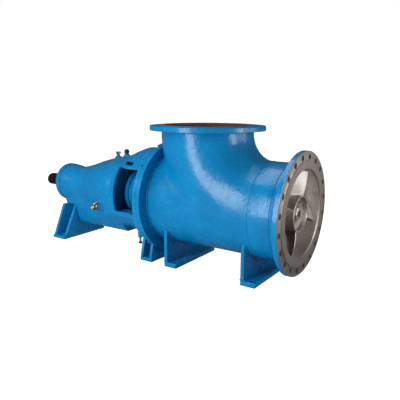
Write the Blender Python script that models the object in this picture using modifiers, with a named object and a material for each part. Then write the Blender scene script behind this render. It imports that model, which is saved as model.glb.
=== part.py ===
# Axial flow pump with an elbow casing, a horizontal shaft and a bearing bracket.
# Metres. +X runs along the shaft to the inlet and +Z runs up to the outlet. X is measured from
# the outlet's centre line while the pieces are made, and at the end the whole pump is moved
# along X so that the origin lies on the floor under the middle of its length.
import math

import bmesh
import bpy
from mathutils import Matrix, Vector

AXIS_Z = 0.411            # shaft centre line above the floor
GAP = 0.0003              # between pieces that touch
QUARTER = math.pi / 2

# Flanges, drilled for a 500 mm pipe at 16 bar
FLANGE_R = 0.3575
BOLT_CIRCLE_R = 0.325
BOLT_HOLE_R = 0.0165
BOLT_COUNT = 20
RAISED_R = 0.304
RAISED_H = 0.004
INLET_X = 0.651
OUTLET_Z = 0.891
FLANGE_T = 0.032

# Casing
CASING_R = 0.285
CASING_BORE_R = 0.263
CHAMBER_R = 0.2525        # bore that the impeller turns in
BEND_R = 0.435            # centre line of the elbow
ELBOW_END_X = 0.438
BARREL_SLACK = 0.0007     # keeps the barrel's skin just inside the elbow's
SPOOL_END_X = 0.567
NECK_Z = 0.720            # seam between the neck and the elbow
BARREL_END_X = 0.385      # seam between the barrel, the elbow and the throat
CREASE_LIFT = 0.004       # keeps the seam just above the crease between elbow and barrel
CASING_FLANGE_X = (-0.2930, -0.2650)
BRACKET_FLANGE_X = (-0.3225, -0.2933)
COVER_R = 0.240
COVER_T = 0.012           # how far the cover stands in front of its flange

# Bearing bracket
SHAFT_R = 0.043
SHAFT_SLEEVE_R = 0.055
SHAFT_BORE_R = 0.056
SHAFT_STEP_X = -0.600
SHAFT_END_X = -1.530
HOUSING_REAR_X = -1.306
HOUSING_FRONT_X = -0.567
BULKHEAD_X = -0.640
HOUSING_BORE_R = 0.062
SUMP_REAR_X = -1.1617
SUMP_FRONT_X = -0.600
SUMP_REAR_SIDE = ((0.050, 0.112), (0.105, 0.345))    # half width and height, bottom and top
SUMP_FRONT_SIDE = ((0.105, 0.132), (0.250, 0.325))
REAR_FOOT_TOP = 0.247
SADDLE_SIDE = ((0.078, REAR_FOOT_TOP + GAP), (0.105, 0.345))
END_COVER_T = 0.040
END_COVER_R = 0.143
COVER_BOSS = ((0.0, 0.085), (0.030, 0.080))     # distance behind the cover, radius
LANTERN_WALL = 0.030
WINDOW_Z = (0.310, 0.605)
LOWER_ARM_R = 0.257       # the lantern and the housing's rim are slimmer below the window
POCKET_CIRCLE_R = 0.334
POCKET_R = 0.027
POCKET_COUNT = 16
POCKET_DEPTH = 0.050
DRAIN_AT = (-0.420, -0.175, 0.136)
DRAIN_BOSS_R = 0.016
SEAL_R = 0.155
SEAL_REAR_X = -0.572
SEAL_CHAMFER = 0.006
GLAND_R = 0.098
GLAND_T = 0.020

# Oil fittings on the housing
TOP_BOSS_R = 0.021
GLASS_BOSS_R = 0.030
ELBOW_BOSS_R = 0.020
BOSS_DEPTH = 0.070        # how far a side boss runs into the housing
BREATHER_X = -0.768
BREATHER_Z = AXIS_Z + 0.236
FILLER_X = -0.684
FILLER_Z = AXIS_Z + 0.256
GLASS_AT = (-0.805, -0.210, 0.308)
ELBOW_AT = (-0.745, -0.234, 0.345)

# Outlines of the small fittings: (height, radius) from their seats
BREATHER_LINE = [(0.042, 0.0), (0.042, 0.014), (0.032, 0.019), (0.020, 0.019), (0.020, 0.010),
                 (0.006, 0.010), (0.006, 0.017), (0.0, 0.017), (0.0, 0.0)]
FILLER_LINE = [(0.034, 0.0), (0.030, 0.014), (0.020, 0.018), (0.006, 0.018), (0.006, 0.014),
               (0.0, 0.014), (0.0, 0.0)]
GLASS_LINE = [(0.022, 0.0), (0.022, 0.020), (0.016, 0.027), (0.0, 0.027), (0.0, 0.0)]
DRAIN_LINE = [(0.040, 0.0), (0.038, 0.009), (0.026, 0.011), (0.022, 0.007), (0.0, 0.007), (0.0, 0.0)]

# Impeller
IMPELLER_X = (0.455, 0.634)
HUB_R = 0.106
RECESS_R = 0.097          # the hub's front is a cup that the nut sits in
RECESS_DEPTH = 0.030
NUT_R = 0.040
NUT_T = 0.020
BLADE_COUNT = 4
BLADE_START = math.radians(10)
BLADE_TIP_R = CHAMBER_R - 0.005
BLADE_T = 0.016
BLADE_PITCH = (48, 26)    # degrees, at the hub and at the tip
BLADE_HALF_CHORD = (0.085, 0.150)
BLADE_AHEAD = 0.016       # from the middle of the hub
BLADE_ROOT_GAP = 0.0015
KEY_LENGTH = 0.150
KEY_HALF_WIDTH = 0.011
KEY_DEPTH = 0.009
KEY_HEIGHT = 0.005

# Feet: x from and to, half width
FOOT_T = 0.030
MID_FOOT = (-0.174, -0.083, 0.230)
INLET_FOOT = (0.379, 0.474, 0.230)
BRACKET_FOOT = (-0.382, -0.286, 0.223)
REAR_FOOT = (-1.293, -1.162, 0.207)
WEB_T = 0.024
ANCHOR_R = 0.0125
ANCHOR_INSET = 0.035      # from the end of the base plate
ANCHOR_EDGE = 0.033       # from the front edge of the base plate
WEB_TOP = 0.260
BRACKET_BASE_T = 0.024
BRACKET_PLATE_T = 0.020
BRACKET_PLATE_HALF = (0.190, 0.205)    # half widths at the arc: rear plate, front plate
REAR_BASE_T = 0.025
REAR_PLATE_HALF = (0.195, 0.096)       # half widths at the base and at the top
REAR_FRONT_HALF = (0.190, 0.075)
REAR_RIB_HALF = 0.012


def start_scene():
    for obj in list(bpy.data.objects):
        bpy.data.objects.remove(obj, do_unlink=True)
    model = bpy.data.collections.new("axial_flow_pump")
    cutters = bpy.data.collections.new("cutters")
    for group in (model, cutters):
        bpy.context.scene.collection.children.link(group)
    return model, cutters


MODEL, CUTTERS = start_scene()


def finish_material(name, colour, roughness, metallic):
    mat = bpy.data.materials.new(name)
    mat.use_nodes = True
    shader = mat.node_tree.nodes["Principled BSDF"]
    shader.inputs["Base Color"].default_value = (*colour, 1.0)
    shader.inputs["Roughness"].default_value = roughness
    shader.inputs["Metallic"].default_value = metallic
    return mat


PAINT_COLOUR = (0.008, 0.199, 0.552)
STEEL_COLOUR = (0.34, 0.31, 0.28)
DARK_STEEL_COLOUR = (0.09, 0.07, 0.06)
BRASS_COLOUR = (0.62, 0.45, 0.20)


def paint(name):
    return finish_material(name + "_paint", PAINT_COLOUR, 0.35, 0.0)


def steel(name):
    return finish_material(name + "_steel", STEEL_COLOUR, 0.35, 1.0)


def dark_steel(name):
    return finish_material(name + "_dark_steel", DARK_STEEL_COLOUR, 0.5, 0.9)


def add_object(name, mesh, mat=None, collection=None):
    obj = bpy.data.objects.new(name, mesh)
    (collection or MODEL).objects.link(obj)
    if mat:
        mesh.materials.append(mat)
    if collection is CUTTERS:
        obj.hide_render = True
        obj.display_type = "WIRE"
    return obj


def smooth(mesh):
    mesh.shade_smooth()
    mesh.set_sharp_from_angle(angle=math.radians(35))


def turned(name, profile, mat=None, closed=True, segments=48, collection=None):
    """A shape turned about +X at the shaft's height, from (x, r) points down its outer side."""
    mesh = bpy.data.meshes.new(name)
    bm = bmesh.new()
    verts = [bm.verts.new((r, 0.0, x)) for x, r in profile]
    pairs = list(zip(verts, verts[1:]))
    if closed:
        pairs.append((verts[-1], verts[0]))
    for a, b in pairs:
        bm.edges.new((a, b))
    bm.to_mesh(mesh)
    bm.free()
    obj = add_object(name, mesh, mat, collection)
    screw = obj.modifiers.new("turn", "SCREW")
    screw.axis = "Z"
    screw.angle = 2 * math.pi
    screw.steps = segments
    screw.render_steps = segments
    screw.use_merge_vertices = True
    screw.merge_threshold = 0.0001
    screw.use_smooth_shade = True
    obj.location = (0.0, 0.0, AXIS_Z)
    obj.rotation_euler = (0.0, QUARTER, 0.0)
    return obj


def stand_up(obj):
    """Turns a shape made about the shaft into one about the outlet's vertical axis."""
    obj.location = (0.0, 0.0, 0.0)
    obj.rotation_euler = (0.0, 0.0, 0.0)
    return obj


def cylinder(name, radius, start, end, mat=None, segments=32, collection=None, top_radius=None):
    """A cylinder or cone between two points."""
    start, end = Vector(start), Vector(end)
    mesh = bpy.data.meshes.new(name)
    bm = bmesh.new()
    bmesh.ops.create_cone(bm, cap_ends=True, segments=segments, radius1=radius,
                          radius2=radius if top_radius is None else top_radius,
                          depth=(end - start).length)
    bm.to_mesh(mesh)
    bm.free()
    smooth(mesh)
    obj = add_object(name, mesh, mat, collection)
    obj.location = (start + end) / 2
    obj.rotation_euler = (end - start).to_track_quat("Z", "Y").to_euler()
    return obj


def box(name, low, high, mat=None, collection=None):
    low, high = Vector(low), Vector(high)
    mesh = bpy.data.meshes.new(name)
    bm = bmesh.new()
    bmesh.ops.create_cube(bm, size=1.0)
    bmesh.ops.scale(bm, vec=high - low, verts=bm.verts)
    bm.to_mesh(mesh)
    bm.free()
    obj = add_object(name, mesh, mat, collection)
    obj.location = (low + high) / 2
    return obj


def plate(name, outline, x_low, x_high, mat=None, collection=None):
    """A flat plate across the shaft from a (y, z) outline."""
    curve = bpy.data.curves.new(name, "CURVE")
    curve.dimensions = "2D"
    curve.fill_mode = "BOTH"
    curve.extrude = (x_high - x_low) / 2
    spline = curve.splines.new("POLY")
    spline.points.add(len(outline) - 1)
    for point, (y, z) in zip(spline.points, outline):
        point.co = (y, z, 0.0, 1.0)
    spline.use_cyclic_u = True
    obj = add_object(name, curve, mat, collection)
    obj.location = ((x_low + x_high) / 2, 0.0, 0.0)
    obj.rotation_euler = (QUARTER, 0.0, QUARTER)
    return obj


def pipe(name, points, radius, mat=None, resolution=18, collection=None):
    """A round solid swept along a line of points, as a closed mesh."""
    curve = bpy.data.curves.new(name, "CURVE")
    curve.dimensions = "3D"
    curve.bevel_depth = radius
    curve.bevel_resolution = resolution
    curve.use_fill_caps = True
    spline = curve.splines.new("POLY")
    spline.points.add(len(points) - 1)
    for point, place in zip(spline.points, points):
        point.co = (*place, 1.0)
    guide = bpy.data.objects.new(name + "_path", curve)
    MODEL.objects.link(guide)
    evaluated = guide.evaluated_get(bpy.context.evaluated_depsgraph_get())
    mesh = bpy.data.meshes.new_from_object(evaluated)
    bm = bmesh.new()
    bm.from_mesh(mesh)
    bmesh.ops.remove_doubles(bm, verts=bm.verts, dist=0.00005)
    bmesh.ops.recalc_face_normals(bm, faces=bm.faces)
    bm.to_mesh(mesh)
    bm.free()
    mesh.materials.clear()
    obj = add_object(name, mesh, mat, collection)
    obj.matrix_world = guide.matrix_world
    bpy.data.objects.remove(guide, do_unlink=True)
    smooth(mesh)
    return obj


def boolean(obj, cutter, operation="DIFFERENCE"):
    change = obj.modifiers.new(operation.lower(), "BOOLEAN")
    change.operation = operation
    change.solver = "EXACT"
    change.object = cutter
    return obj


def hull(name, points, mat=None, collection=None):
    """The tight skin round a set of corner points."""
    mesh = bpy.data.meshes.new(name)
    bm = bmesh.new()
    for point in points:
        bm.verts.new(point)
    bmesh.ops.convex_hull(bm, input=bm.verts)
    bm.to_mesh(mesh)
    bm.free()
    return add_object(name, mesh, mat, collection)


def bolt_ring(name, radius, hole_r, count, low, high, upright=False, first=0.5):
    """One cutter of evenly spaced pins that drills a bolt circle."""
    mesh = bpy.data.meshes.new(name)
    bm = bmesh.new()
    for index in range(count):
        angle = (index + first) * 2 * math.pi / count
        centre = Matrix.Translation((radius * math.cos(angle), radius * math.sin(angle), (low + high) / 2))
        bmesh.ops.create_cone(bm, cap_ends=True, segments=8, radius1=hole_r, radius2=hole_r,
                              depth=high - low, matrix=centre)
    bm.to_mesh(mesh)
    bm.free()
    obj = add_object(name, mesh, None, CUTTERS)
    if not upright:
        obj.location = (0.0, 0.0, AXIS_Z)
        obj.rotation_euler = (0.0, QUARTER, 0.0)
    return obj


def bend_points(end_up, end_along, steps=10):
    """The casing's centre line: down from the outlet, round the elbow and along to the inlet."""
    corner = Vector((BEND_R, 0.0, AXIS_Z + BEND_R))
    points = [(0.0, 0.0, end_up)]
    for index in range(steps + 1):
        angle = math.pi + index * QUARTER / steps
        points.append((corner.x + BEND_R * math.cos(angle), 0.0, corner.z + BEND_R * math.sin(angle)))
    points.append((end_along, 0.0, AXIS_Z))
    return points


# Casing

def casing_shell(name):
    """The whole hollow casing: the elbow and the straight barrel in one."""
    neck_top = OUTLET_Z - FLANGE_T - GAP
    rear = CASING_FLANGE_X[1] + GAP
    body = pipe(name, bend_points(neck_top, ELBOW_END_X + 0.1), CASING_R, paint(name))
    barrel = cylinder(name + "_barrel_cutter", CASING_R - BARREL_SLACK, (rear, 0, AXIS_Z),
                      (ELBOW_END_X - 0.005, 0, AXIS_Z), segments=40, collection=CUTTERS)
    boolean(body, barrel, "UNION")
    bore = pipe(name + "_bore_cutter", bend_points(OUTLET_Z + 0.05, ELBOW_END_X + 0.15), CASING_BORE_R,
                collection=CUTTERS)
    boolean(body, bore)
    back_bore = cylinder(name + "_back_bore_cutter", CASING_BORE_R - BARREL_SLACK, (rear - 0.05, 0, AXIS_Z),
                         (ELBOW_END_X - 0.012, 0, AXIS_Z), segments=40, collection=CUTTERS)
    boolean(body, back_bore)
    return boolean(body, box(name + "_end_cutter", (ELBOW_END_X, -0.4, 0), (ELBOW_END_X + 0.3, 0.4, 0.8),
                             collection=CUTTERS))


def above_crease(name, lift):
    """The room over the crease, which is a parabola seen from the side."""
    low_x = CASING_FLANGE_X[1] - 0.1
    points = []
    for index in range(9):
        x = low_x + (BARREL_END_X + 0.05 - low_x) * index / 8
        z = AXIS_Z + (x - BEND_R) ** 2 / (4 * BEND_R) + lift
        points += [(x, -0.4, z), (x, 0.4, z)]
    for x in (low_x, BARREL_END_X + 0.05):
        points += [(x, -0.4, 1.0), (x, 0.4, 1.0)]
    return hull(name, points, collection=CUTTERS)


def make_casing():
    front = BARREL_END_X - GAP
    neck = casing_shell("casing_neck")
    boolean(neck, box("neck_keep_cutter", (-0.4, -0.4, NECK_Z), (0.5, 0.4, 1.0), collection=CUTTERS),
            "INTERSECT")
    throat = casing_shell("casing_throat")
    boolean(throat, box("throat_keep_cutter", (BARREL_END_X, -0.4, 0.0), (0.6, 0.4, NECK_Z - GAP),
                        collection=CUTTERS), "INTERSECT")
    barrel = casing_shell("casing_barrel")
    boolean(barrel, above_crease("barrel_top_cutter", CREASE_LIFT - GAP))
    boolean(barrel, box("barrel_front_cutter", (front, -0.4, 0.0), (0.6, 0.4, 1.0), collection=CUTTERS))
    elbow = casing_shell("casing_elbow")
    boolean(elbow, box("elbow_keep_cutter", (-0.4, -0.4, 0.0), (front, 0.4, NECK_Z - GAP),
                       collection=CUTTERS), "INTERSECT")
    boolean(elbow, above_crease("elbow_under_cutter", CREASE_LIFT), "INTERSECT")


def make_inlet():
    low, high = ELBOW_END_X + GAP, SPOOL_END_X - GAP
    turned("inlet_spool", [(high, CASING_R), (low, CASING_R), (low, CHAMBER_R), (high, CHAMBER_R)],
           paint("inlet_spool"))
    face = INLET_X - RAISED_H
    flange = turned("inlet_flange", [
        (INLET_X, CHAMBER_R), (INLET_X, RAISED_R), (face, RAISED_R), (face, FLANGE_R),
        (INLET_X - FLANGE_T, FLANGE_R), (INLET_X - FLANGE_T, CASING_R + 0.006),
        (INLET_X - FLANGE_T - 0.008, CASING_R), (SPOOL_END_X, CASING_R), (SPOOL_END_X, CHAMBER_R)],
        steel("inlet_flange"))
    boolean(flange, bolt_ring("inlet_bolt_cutter", BOLT_CIRCLE_R, BOLT_HOLE_R, BOLT_COUNT,
                              INLET_X - FLANGE_T - 0.02, INLET_X + 0.02))


def make_outlet_flange():
    face = OUTLET_Z - RAISED_H
    under = OUTLET_Z - FLANGE_T
    flange = stand_up(turned("outlet_flange", [
        (OUTLET_Z, CASING_BORE_R), (OUTLET_Z, RAISED_R), (face, RAISED_R), (face, FLANGE_R),
        (under, FLANGE_R), (under, CASING_BORE_R)], paint("outlet_flange")))
    boolean(flange, bolt_ring("outlet_bolt_cutter", BOLT_CIRCLE_R, BOLT_HOLE_R, BOLT_COUNT,
                              under - 0.02, OUTLET_Z + 0.02, upright=True))


def make_casing_back():
    low, high = CASING_FLANGE_X
    flange = turned("casing_flange", [(high, FLANGE_R), (low, FLANGE_R), (low, CASING_BORE_R),
                                      (high, CASING_BORE_R)], paint("casing_flange"))
    bend = pipe("bend_clearance_cutter", bend_points(OUTLET_Z - FLANGE_T, ELBOW_END_X), CASING_R + GAP,
                collection=CUTTERS)
    boolean(flange, bend)
    front = high + COVER_T
    rim = CASING_BORE_R - GAP
    turned("casing_cover", [(front, COVER_R), (high, COVER_R), (high, rim), (low, rim),
                            (low, SHAFT_BORE_R), (front, SHAFT_BORE_R)], steel("casing_cover"))


# Bearing bracket

def housing_profile():
    """The housing's outer line from the lantern back to the end cover."""
    return [(HOUSING_FRONT_X - GAP, 0.283), (-0.612, 0.264), (-0.688, 0.246), (-0.786, 0.222),
            (-0.887, 0.195), (-0.991, 0.161), (-1.076, 0.138), (-1.130, 0.129), (-1.164, 0.130),
            (-1.225, 0.139), (-1.262, 0.142), (HOUSING_REAR_X + END_COVER_T + GAP, 0.142)]


def make_bearing_housing():
    rear = HOUSING_REAR_X + END_COVER_T + GAP
    profile = housing_profile()
    profile += [(rear, HOUSING_BORE_R), (BULKHEAD_X, HOUSING_BORE_R), (BULKHEAD_X, 0.225),
                (HOUSING_FRONT_X - GAP, 0.250)]
    housing = turned("bearing_housing", profile, paint("bearing_housing"), segments=40)
    skirt = turned("skirt_cutter", [(-0.500, 0.400), (-0.700, 0.400), (-0.700, LOWER_ARM_R),
                                    (-0.500, LOWER_ARM_R)], segments=40, collection=CUTTERS)
    boolean(skirt, box("skirt_half_cutter", (-0.800, -0.500, -0.100), (-0.400, 0.500, WINDOW_Z[0]),
                       collection=CUTTERS), "INTERSECT")
    boolean(housing, skirt)
    sump_ends = ((SUMP_REAR_X + GAP, SUMP_REAR_SIDE), (SUMP_FRONT_X, SUMP_FRONT_SIDE))
    sump = hull("sump_cutter", [(x, side * y, z) for x, line in sump_ends
                                for side in (-1, 1) for y, z in line], collection=CUTTERS)
    saddle = hull("saddle_cutter", [(x, side * y, z) for x in (rear, SUMP_REAR_X + 0.03)
                                    for side in (-1, 1) for y, z in SADDLE_SIDE], collection=CUTTERS)
    boolean(housing, sump, "UNION")
    boolean(housing, saddle, "UNION")
    bore = cylinder("housing_bore_cutter", HOUSING_BORE_R, (rear - 0.05, 0, AXIS_Z),
                    (BULKHEAD_X + 0.001, 0, AXIS_Z), segments=40, collection=CUTTERS)
    boolean(housing, bore)
    for name, x, top in (("breather_boss_cutter", BREATHER_X, BREATHER_Z),
                         ("filler_boss_cutter", FILLER_X, FILLER_Z)):
        boss = cylinder(name, TOP_BOSS_R, (x, 0, AXIS_Z + 0.150), (x, 0, top), segments=16,
                        collection=CUTTERS)
        boolean(housing, boss, "UNION")
    for name, place, radius in (("glass_boss_cutter", GLASS_AT, GLASS_BOSS_R),
                                ("elbow_boss_cutter", ELBOW_AT, ELBOW_BOSS_R)):
        x, y, z = place
        boss = cylinder(name, radius, (x, y + BOSS_DEPTH, z), (x, y, z), segments=16, collection=CUTTERS)
        boolean(housing, boss, "UNION")


def make_end_cover():
    rear = HOUSING_REAR_X
    front = rear + END_COVER_T
    boss = [(rear - behind, radius) for behind, radius in COVER_BOSS]
    bore = SHAFT_R + 0.0005
    turned("bearing_end_cover", [(front, END_COVER_R), (rear, END_COVER_R)] + boss
           + [(boss[-1][0], bore), (front, bore)], paint("bearing_end_cover"), segments=40)


LANTERN_TOP_LINE = [(BRACKET_FLANGE_X[0] - GAP, 0.316), (-0.456, 0.316), (-0.492, 0.313), (-0.519, 0.305),
                    (-0.547, 0.293), (HOUSING_FRONT_X, 0.283)]
LANTERN_BOTTOM_LINE = [(BRACKET_FLANGE_X[0] - GAP, 0.316), (-0.385, 0.316), (-0.425, 0.280), (-0.455, 0.262),
                       (-0.480, LOWER_ARM_R), (HOUSING_FRONT_X, LOWER_ARM_R)]


def make_lantern_arm(name, outer, z_low, z_high, pockets):
    """The part of a turned shell above or below the windows."""
    inner = [(x, r - LANTERN_WALL) for x, r in reversed(outer)]
    arm = turned(name, outer + inner, paint(name))
    boolean(arm, box(name + "_cutter", (HOUSING_FRONT_X - 0.05, -0.5, z_low), (-0.2, 0.5, z_high),
                     collection=CUTTERS), "INTERSECT")
    return boolean(arm, pockets)


def make_lantern():
    front = BRACKET_FLANGE_X[0] - GAP
    pockets = bolt_ring("pocket_cutter", POCKET_CIRCLE_R, POCKET_R, POCKET_COUNT, front - POCKET_DEPTH,
                        front + 0.02, first=0.0)
    low, high = WINDOW_Z
    make_lantern_arm("lantern_top", LANTERN_TOP_LINE, high, 1.0, pockets)
    bottom = make_lantern_arm("lantern_bottom", LANTERN_BOTTOM_LINE, -0.1, low, pockets)
    x, y, z = DRAIN_AT
    boolean(bottom, cylinder("drain_boss_cutter", DRAIN_BOSS_R, (x, y, z + 0.075), (x, y, z), segments=12,
                             collection=CUTTERS), "UNION")


def make_bracket_flange():
    low, high = BRACKET_FLANGE_X
    turned("bracket_flange", [(high, FLANGE_R), (low, FLANGE_R), (low, SEAL_R + GAP),
                              (high, SEAL_R + GAP)], paint("bracket_flange"))


def make_seal():
    low = SEAL_REAR_X
    high = BRACKET_FLANGE_X[1]
    turned("seal_housing", [(high, SEAL_R), (low + SEAL_CHAMFER, SEAL_R), (low, SEAL_R - SEAL_CHAMFER),
                            (low, SHAFT_BORE_R), (high, SHAFT_BORE_R)], paint("seal_housing"), segments=36)
    turned("gland_ring", [(low - GAP, GLAND_R), (low - GLAND_T, GLAND_R), (low - GLAND_T, SHAFT_BORE_R),
                          (low - GAP, SHAFT_BORE_R)], steel("gland_ring"), segments=32)


# Rotor

def make_rotor():
    rotor_axis = bpy.data.objects.new("rotor_axis", None)
    MODEL.objects.link(rotor_axis)
    rotor_axis.location = (0.0, 0.0, AXIS_Z)
    low, high = IMPELLER_X
    shaft = turned("shaft", [
        (low - GAP, 0.0), (low - GAP, SHAFT_SLEEVE_R), (SHAFT_STEP_X, SHAFT_SLEEVE_R),
        (SHAFT_STEP_X, SHAFT_R), (SHAFT_END_X + 0.003, SHAFT_R), (SHAFT_END_X, SHAFT_R - 0.003),
        (SHAFT_END_X, 0.0)],
        dark_steel("shaft"), closed=False, segments=32)
    key_low = SHAFT_END_X + 0.012
    key_high = key_low + KEY_LENGTH
    half = KEY_HALF_WIDTH
    top = AXIS_Z + SHAFT_R
    keyway = box("keyway_cutter", (key_low, -half, top - KEY_DEPTH), (key_high, half, top + 0.02),
                 collection=CUTTERS)
    boolean(shaft, keyway)
    key = box("shaft_key", (key_low + GAP, -half + GAP, top - KEY_DEPTH + GAP),
              (key_high - GAP, half - GAP, top + KEY_HEIGHT), dark_steel("shaft_key"))
    floor = high - RECESS_DEPTH
    hub = turned("impeller_hub", [
        (floor, 0.0), (floor, RECESS_R - 0.004), (high, RECESS_R), (high, HUB_R), (low + 0.01, HUB_R),
        (low, HUB_R - 0.01), (low, 0.0)], steel("impeller_hub"), closed=False, segments=48)
    nut_end = floor + NUT_T
    nut = turned("impeller_nut", [
        (nut_end, 0.0), (nut_end, NUT_R - 0.008), (nut_end - 0.006, NUT_R), (floor + GAP, NUT_R),
        (floor + GAP, 0.0)], steel("impeller_nut"), closed=False, segments=24)
    for piece in (shaft, key, hub, nut):
        keep_place(piece, rotor_axis)
    for index in range(BLADE_COUNT):
        angle = BLADE_START + index * 2 * math.pi / BLADE_COUNT
        blade = make_blade("impeller_blade_%d" % (index + 1), angle)
        keep_place(blade, rotor_axis)


def keep_place(piece, parent):
    piece.parent = parent
    piece.location = piece.location - parent.location


def make_blade(name, turn):
    """One twisted blade: a grid bent round the hub, steeper at the root than at the tip."""
    low, high = IMPELLER_X
    across, along = 4, 6
    middle = (low + high) / 2 + BLADE_AHEAD
    root = HUB_R + BLADE_ROOT_GAP
    mesh = bpy.data.meshes.new(name)
    bm = bmesh.new()
    bmesh.ops.create_grid(bm, x_segments=across, y_segments=along, size=0.5)
    for vert in bm.verts:
        share = vert.co.x + 0.5
        radius = root + share * (BLADE_TIP_R - root)
        pitch = math.radians(BLADE_PITCH[0] + share * (BLADE_PITCH[1] - BLADE_PITCH[0]))
        half_chord = BLADE_HALF_CHORD[0] + share * (BLADE_HALF_CHORD[1] - BLADE_HALF_CHORD[0])
        step = vert.co.y * 2 * half_chord
        angle = turn + step * math.cos(pitch) / radius
        vert.co = (middle - step * math.sin(pitch), radius * math.cos(angle), radius * math.sin(angle))
    bmesh.ops.recalc_face_normals(bm, faces=bm.faces)
    bm.to_mesh(mesh)
    bm.free()
    blade = add_object(name, mesh, steel(name))
    wall = blade.modifiers.new("thickness", "SOLIDIFY")
    wall.thickness = BLADE_T
    wall.offset = 0.0
    wall.use_even_offset = False
    blade.location = (0.0, 0.0, AXIS_Z)
    chamber = turned(name + "_cutter", [(high + 0.1, 0.5), (low - 0.1, 0.5), (low - 0.1, BLADE_TIP_R),
                                        (high + 0.1, BLADE_TIP_R)], collection=CUTTERS)
    boolean(blade, chamber)
    return blade


# Feet

def arc_top(half_width, body_radius, steps=12):
    """Points along the underside of a round body, from the left side to the right."""
    start = math.asin(half_width / body_radius)
    radius = (body_radius + GAP) / math.cos(start / steps)
    angles = [start - 2 * start * k / steps for k in range(steps + 1)]
    return [(-radius * math.sin(a), AXIS_Z - radius * math.cos(a)) for a in angles]


def make_base(name, size, thickness, hole_x):
    """A foot's base plate with an anchor hole near each end."""
    x_low, x_high, half = size
    base = box(name, (x_low, -half, 0), (x_high, half, thickness), paint(name))
    for side, label in ((-1, "near"), (1, "far")):
        y = side * (half - ANCHOR_INSET)
        hole = cylinder(name + "_" + label + "_cutter", ANCHOR_R, (hole_x, y, -0.02), (hole_x, y, 0.06),
                        segments=12, collection=CUTTERS)
        boolean(base, hole)


def make_casing_foot(name, size):
    x_low, x_high, half = size
    make_base(name + "_base", size, FOOT_T - GAP, x_high - ANCHOR_EDGE)
    web = box(name + "_web", (x_low, -half, FOOT_T), (x_low + WEB_T, half, WEB_TOP), paint(name + "_web"))
    barrel = cylinder(name + "_barrel_cutter", CASING_R - BARREL_SLACK + GAP, (x_low - 0.05, 0, AXIS_Z),
                      (x_low + WEB_T + 0.05, 0, AXIS_Z), segments=40, collection=CUTTERS)
    boolean(web, barrel)


def make_bracket_foot():
    x_low, x_high, half = BRACKET_FOOT
    make_base("bracket_foot_base", BRACKET_FOOT, BRACKET_BASE_T, (x_low + x_high) / 2)
    low = BRACKET_BASE_T + GAP
    rear_half, front_half = BRACKET_PLATE_HALF
    rear_top = arc_top(rear_half, LANTERN_BOTTOM_LINE[0][1])
    front_top = arc_top(front_half, FLANGE_R)
    plate("bracket_foot_rear", ([(half, low), (-half, low)] + rear_top)[::-1],
          x_low, x_low + BRACKET_PLATE_T, paint("bracket_foot_rear"))
    plate("bracket_foot_front", ([(half, low), (-half, low)] + front_top)[::-1],
          x_high - BRACKET_PLATE_T, x_high, paint("bracket_foot_front"))


def make_rear_foot():
    x_low, x_high, _ = REAR_FOOT
    make_base("rear_foot_base", REAR_FOOT, REAR_BASE_T, (x_low + x_high) / 2)
    low = REAR_BASE_T + GAP
    top = REAR_FOOT_TOP - GAP
    for name, halves, x in (("rear_foot_rear", REAR_PLATE_HALF, x_low),
                            ("rear_foot_front", REAR_FRONT_HALF, x_high - WEB_T)):
        wide, narrow = halves
        plate(name, [(-wide, low), (wide, low), (narrow, top), (-narrow, top)], x, x + WEB_T, paint(name))
    box("rear_foot_rib", (x_low + WEB_T + GAP, -REAR_RIB_HALF, low),
        (x_high - WEB_T - GAP, REAR_RIB_HALF, top), paint("rear_foot_rib"))


# Fittings

def make_fittings():
    placed("oil_breather", (BREATHER_X, 0.0, BREATHER_Z + GAP), (0.0, 0.0, 0.0), BREATHER_LINE,
           steel("oil_breather"))
    placed("oil_filler_plug", (FILLER_X, 0.0, FILLER_Z + GAP), (0.0, 0.0, 0.0), FILLER_LINE,
           dark_steel("oil_filler_plug"))
    x, y, z = GLASS_AT
    placed("oil_level_glass", (x, y - GAP, z), (QUARTER, 0.0, 0.0), GLASS_LINE,
           finish_material("oil_level_glass_brass", BRASS_COLOUR, 0.3, 1.0))
    x, y, z = DRAIN_AT
    placed("drain_cock", (x, y, z - GAP), (math.pi, 0.0, 0.0), DRAIN_LINE, dark_steel("drain_cock"))
    x, y, z = ELBOW_AT
    line = [(x, y - GAP, z), (x, y - 0.018, z), (x - 0.006, y - 0.027, z - 0.002),
            (x - 0.022, y - 0.030, z - 0.010)]
    pipe("level_vent_elbow", line, 0.010, steel("level_vent_elbow"), resolution=4)


def placed(name, place, turn, profile, mat):
    """A small fitting turned about its own axis and set on its boss."""
    piece = turned(name, profile, mat, closed=False, segments=14)
    piece.location = place
    piece.rotation_euler = turn
    return piece


def centre_on_floor():
    """Moves the pump along X so that the origin lies under the middle of its length."""
    shift = -(SHAFT_END_X + INLET_X) / 2
    for group in (MODEL, CUTTERS):
        for obj in group.objects:
            if obj.parent is None:
                obj.location.x += shift


make_casing()
make_inlet()
make_outlet_flange()
make_casing_back()
make_bearing_housing()
make_end_cover()
make_lantern()
make_bracket_flange()
make_seal()
make_rotor()
make_casing_foot("mid_foot", MID_FOOT)
make_casing_foot("inlet_foot", INLET_FOOT)
make_bracket_foot()
make_rear_foot()
make_fittings()
centre_on_floor()
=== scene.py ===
import math

import bmesh
import bpy
from mathutils import Matrix, Vector


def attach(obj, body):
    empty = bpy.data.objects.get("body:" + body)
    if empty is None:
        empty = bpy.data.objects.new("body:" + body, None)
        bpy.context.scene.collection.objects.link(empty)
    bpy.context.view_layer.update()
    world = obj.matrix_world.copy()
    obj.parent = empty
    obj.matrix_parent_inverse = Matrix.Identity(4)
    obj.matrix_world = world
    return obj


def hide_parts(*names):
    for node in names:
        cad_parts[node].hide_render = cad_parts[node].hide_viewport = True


# Axial flow pump: painted elbow casing, open lantern, bearing housing and a bladed impeller.
# Metres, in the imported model's frame: +X along the shaft to the inlet, +Z up out of the outlet.

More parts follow.
